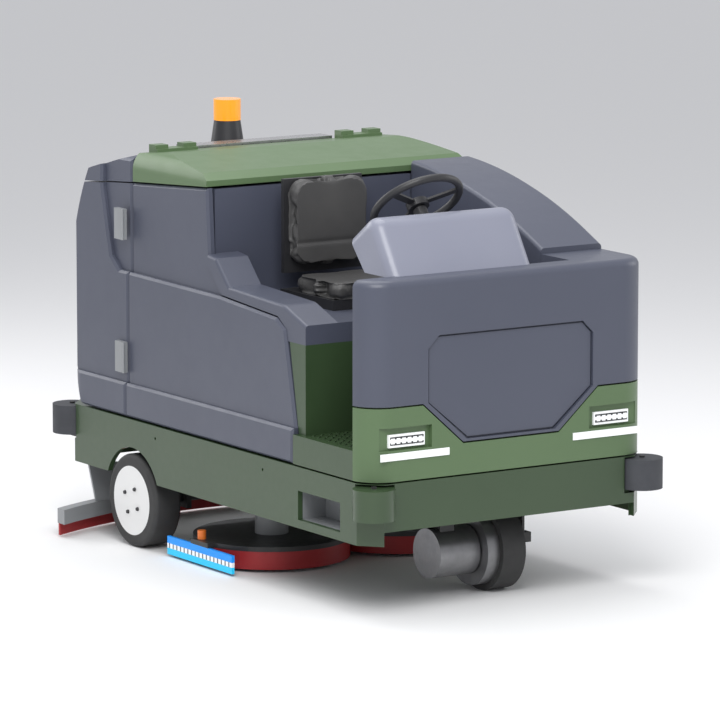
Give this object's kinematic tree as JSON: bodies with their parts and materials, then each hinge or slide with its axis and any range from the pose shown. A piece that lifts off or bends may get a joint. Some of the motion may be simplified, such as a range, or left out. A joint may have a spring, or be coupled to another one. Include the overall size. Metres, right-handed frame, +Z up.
{
  "type": "ride-on floor scrubber",
  "caption": "Ride-on floor scrubber with a steered drive wheel, disc brush deck, rear squeegee, opening side panels and tank lid.",
  "frame": {"origin": "on the floor under the middle of the machine", "axes": "+Z up, the front faces -Y, +X is the driver's left"},
  "size_m": [1.474, 2.26, 1.615],
  "materials": {
    "green": "satin green paint",
    "light_green": "moulded green plastic",
    "slate": "moulded slate plastic",
    "hood_grey": "moulded light slate plastic",
    "black": "black plastic",
    "steel_black": "black powder coat",
    "steel_grey": "grey paint",
    "tyre": "rubber",
    "rim_white": "white plastic",
    "alloy": "cast and turned",
    "rubber": "rubber",
    "seat_vinyl": "black vinyl",
    "amber": "amber lens",
    "lamp": "clear lamp",
    "red": "red squeegee rubber",
    "blue": "blue skirt",
    "orange": "orange knobs",
    "bristle": "nylon bristle",
    "tank_grey": "rotomoulded tank",
    "steel": "bright steel"
  },
  "bodies": {
    "machine": {"chassis": "green", "step_pocket": "steel_grey", "chassis_rails": "steel_black", "roller_brackets": "steel_black", "rear_axle": "steel_black", "rear_cover": "slate", "rear_cap": "slate", "door_hinges": "steel_grey", "hinge_insert": "steel", "beacon_base": "black", "beacon_lens": "amber", "front_cover": "light_green", "front_cowl": "slate", "cowl_panel": "slate", "headlamps": "lamp", "light_strips": "lamp", "left_fairing": "slate", "floor_step": "green", "seat_box_front": "green", "seat_box": "slate", "console": "slate", "cab_liner": "slate", "battery_block": "black", "seat_base": "black", "seat_cushion": "seat_vinyl", "seat_back": "seat_vinyl", "seat_shell": "black", "dash_hood": "hood_grey", "instrument_panel": "black", "steering_column": "black", "pedals": "black", "recovery_tank": "tank_grey"},
    "roller_front_right": {"roller_front_right": "green"},
    "roller_front_left": {"roller_front_left": "rubber"},
    "roller_rear_right": {"roller_rear_right": "rubber"},
    "roller_rear_left": {"roller_rear_left": "rubber"},
    "rear_wheel_right": {"rear_tyre_right": "tyre", "rear_hub_right": "rim_white"},
    "rear_wheel_left": {"rear_tyre_left": "tyre", "rear_hub_left": "rim_white"},
    "drive_unit": {"drive_yoke": "steel_black", "drive_motor": "alloy"},
    "drive_wheel": {"drive_rim": "alloy", "drive_tyre": "tyre"},
    "steering_wheel": {"steering_wheel": "black"},
    "side_door_right": {"side_door_right": "slate"},
    "side_door_left": {"side_door_left": "slate"},
    "roof_lid": {"roof_lid": "light_green"},
    "scrub_deck": {"deck_plate": "steel_black", "brush_skirt": "red", "side_skirts": "blue", "brush_motors": "steel_grey", "deck_knobs": "orange"},
    "brush_right": {"brush_right": "bristle"},
    "brush_left": {"brush_left": "bristle"},
    "squeegee": {"squeegee_channel": "steel_grey", "squeegee_blade": "red", "squeegee_arms": "steel_black", "squeegee_guards": "steel_grey", "squeegee_knobs": "orange"}
  },
  "joints": [
    {"name": "rear_wheel_right", "type": "hinge", "parent": "machine", "child": "rear_wheel_right", "pos_m": [-0.5455, 0.56, 0.175], "axis": [1, 0, 0], "continuous": true},
    {"name": "rear_wheel_left", "type": "hinge", "parent": "machine", "child": "rear_wheel_left", "pos_m": [0.5455, 0.56, 0.175], "axis": [1, 0, 0], "continuous": true},
    {"name": "drive_steer", "type": "hinge", "parent": "machine", "child": "drive_unit", "pos_m": [0, -0.795, 0.155], "axis": [0, 0, 1], "range_deg": [-70, 70]},
    {"name": "drive_wheel", "type": "hinge", "parent": "drive_unit", "child": "drive_wheel", "pos_m": [0.09, -0.795, 0.155], "axis": [1, 0, 0], "continuous": true},
    {"name": "steering_wheel", "type": "hinge", "parent": "machine", "child": "steering_wheel", "pos_m": [-0.144, -0.672, 1.396], "axis": [0, 0.6428, 0.766], "range_deg": [-176, 176]},
    {"name": "side_door_right", "type": "hinge", "parent": "machine", "child": "side_door_right", "pos_m": [-0.604, 0.612, 0.94], "axis": [0, 0, -1], "range_deg": [0, 100]},
    {"name": "side_door_left", "type": "hinge", "parent": "machine", "child": "side_door_left", "pos_m": [0.604, 0.612, 0.94], "axis": [0, 0, 1], "range_deg": [0, 100]},
    {"name": "roof_lid", "type": "hinge", "parent": "machine", "child": "roof_lid", "pos_m": [0, 0.606, 1.482], "axis": [-1, 0, 0], "range_deg": [0, 55]},
    {"name": "deck_lift", "type": "slide", "parent": "machine", "child": "scrub_deck", "axis": [0, 0, 1], "range_m": [0, 0.055]},
    {"name": "brush_right", "type": "hinge", "parent": "scrub_deck", "child": "brush_right", "pos_m": [-0.275, 0.1, 0.05], "axis": [0, 0, 1], "continuous": true},
    {"name": "brush_left", "type": "hinge", "parent": "scrub_deck", "child": "brush_left", "pos_m": [0.275, 0.1, 0.05], "axis": [0, 0, 1], "continuous": true},
    {"name": "squeegee_lift", "type": "hinge", "parent": "machine", "child": "squeegee", "pos_m": [0, 0.8, 0.246], "axis": [1, 0, 0], "range_deg": [0, 13]},
    {"name": "roller_front_right", "type": "hinge", "parent": "machine", "child": "roller_front_right", "pos_m": [-0.572, -1.055, 0.415], "axis": [0, 0, 1], "continuous": true},
    {"name": "roller_front_left", "type": "hinge", "parent": "machine", "child": "roller_front_left", "pos_m": [0.572, -1.055, 0.415], "axis": [0, 0, 1], "continuous": true},
    {"name": "roller_rear_right", "type": "hinge", "parent": "machine", "child": "roller_rear_right", "pos_m": [-0.572, 1.055, 0.415], "axis": [0, 0, 1], "continuous": true},
    {"name": "roller_rear_left", "type": "hinge", "parent": "machine", "child": "roller_rear_left", "pos_m": [0.572, 1.055, 0.415], "axis": [0, 0, 1], "continuous": true}
  ],
  "couplings": [
    {"joint": "steering_wheel", "follows": "drive_steer", "ratio": 2.5}
  ]
}
